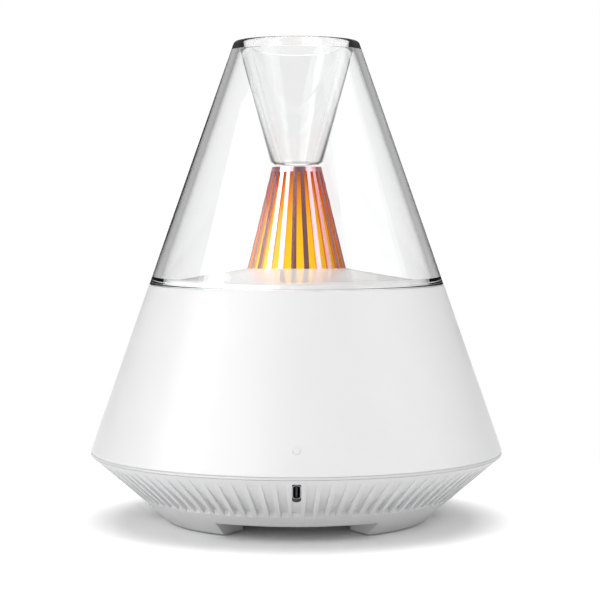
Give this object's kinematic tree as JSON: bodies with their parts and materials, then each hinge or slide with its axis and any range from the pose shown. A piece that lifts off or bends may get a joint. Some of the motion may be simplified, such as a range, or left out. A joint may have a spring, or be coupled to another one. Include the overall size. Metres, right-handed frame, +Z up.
{
  "type": "essential oil diffuser",
  "caption": "Conical aroma diffuser: clear lift-off cover with inner funnel over a slatted glowing lantern, white shell, grooved grey base with arches and charging port.",
  "frame": {"origin": "on the axis of the cones, on the surface that the rubber feet stand on", "axes": "+Z up along the axis of the cones, -Y towards the charging port, +X to the right seen from the port's side"},
  "size_m": [0.1594, 0.1594, 0.185],
  "materials": {
    "white_shell": "satin",
    "grey_base": "fine satin",
    "deck_white": "gloss",
    "clear_plastic": "clear, polished",
    "diffuser_white": "satin, lets light through",
    "rose_gold": "rose-gold plating",
    "amber": "gloss, translucent",
    "tank_plastic": "satin",
    "black_plastic": "satin",
    "rubber_grey": "matte",
    "silicone": "matte",
    "board_green": "solder mask",
    "chip_black": "matte",
    "steel": "zinc plated",
    "nickel": "nickel plated",
    "bronze": "plain",
    "gold_contact": "gold plated",
    "copper": "enamelled wire",
    "led_yellow": "gloss"
  },
  "bodies": {
    "housing": {"base_housing": "grey_base", "rubber_foot_1": "rubber_grey", "rubber_foot_2": "rubber_grey", "rubber_foot_3": "rubber_grey", "base_screws": "steel", "body_shell": "white_shell", "water_tank": "tank_plastic", "tank_floor": "tank_plastic", "tank_pillar_1": "tank_plastic", "tank_pillar_2": "tank_plastic", "tank_pillar_3": "tank_plastic", "air_standpipe": "tank_plastic", "transducer_seal": "silicone", "transducer_disc": "nickel", "transducer_clamp": "black_plastic", "clamp_screws": "steel", "fan_frame": "black_plastic", "fan_bush": "bronze", "fan_coil": "copper", "fan_screws": "steel", "air_duct": "tank_plastic", "main_board": "board_green", "board_parts": "chip_black", "board_screws": "steel", "port_shell": "nickel", "port_tongue": "black_plastic", "port_bezel": "black_plastic", "port_board": "board_green", "port_board_screws": "steel", "indicator_window": "diffuser_white", "indicator_led": "led_yellow", "button_board": "board_green", "button_switches": "chip_black", "button_board_screws": "steel", "pin_block": "black_plastic", "contact_pins": "gold_contact"},
    "rotor": {"fan_rotor": "black_plastic", "fan_shaft": "steel"},
    "mist_key": {"mist_button": "white_shell"},
    "light_key": {"light_button": "white_shell"},
    "lantern_deck": {"deck": "deck_white", "deck_seal": "silicone", "contact_pads": "gold_contact", "mist_chimney": "tank_plastic", "lamp_board": "board_green", "lamp_leds": "led_yellow", "lamp_screws": "steel", "amber_cone": "amber", "lantern_shade": "rose_gold"},
    "cover": {"clear_cover": "clear_plastic"}
  },
  "joints": [
    {"name": "fan_spin", "type": "hinge", "parent": "housing", "child": "rotor", "pos_m": [0, 0, 0.016], "axis": [0, 0, 1], "continuous": true},
    {"name": "mist_button_press", "type": "slide", "parent": "housing", "child": "mist_key", "axis": [0, -0.943, -0.3329], "range_m": [0, 0.0008], "stiffness_N_per_m": 600},
    {"name": "light_button_press", "type": "slide", "parent": "housing", "child": "light_key", "axis": [0, -0.943, -0.3329], "range_m": [0, 0.0008], "stiffness_N_per_m": 600},
    {"name": "deck_lift", "type": "slide", "parent": "housing", "child": "lantern_deck", "axis": [0, 0, 1], "range_m": [0, 0.05]},
    {"name": "cover_lift", "type": "slide", "parent": "lantern_deck", "child": "cover", "axis": [0, 0, 1], "range_m": [0, 0.1]}
  ]
}
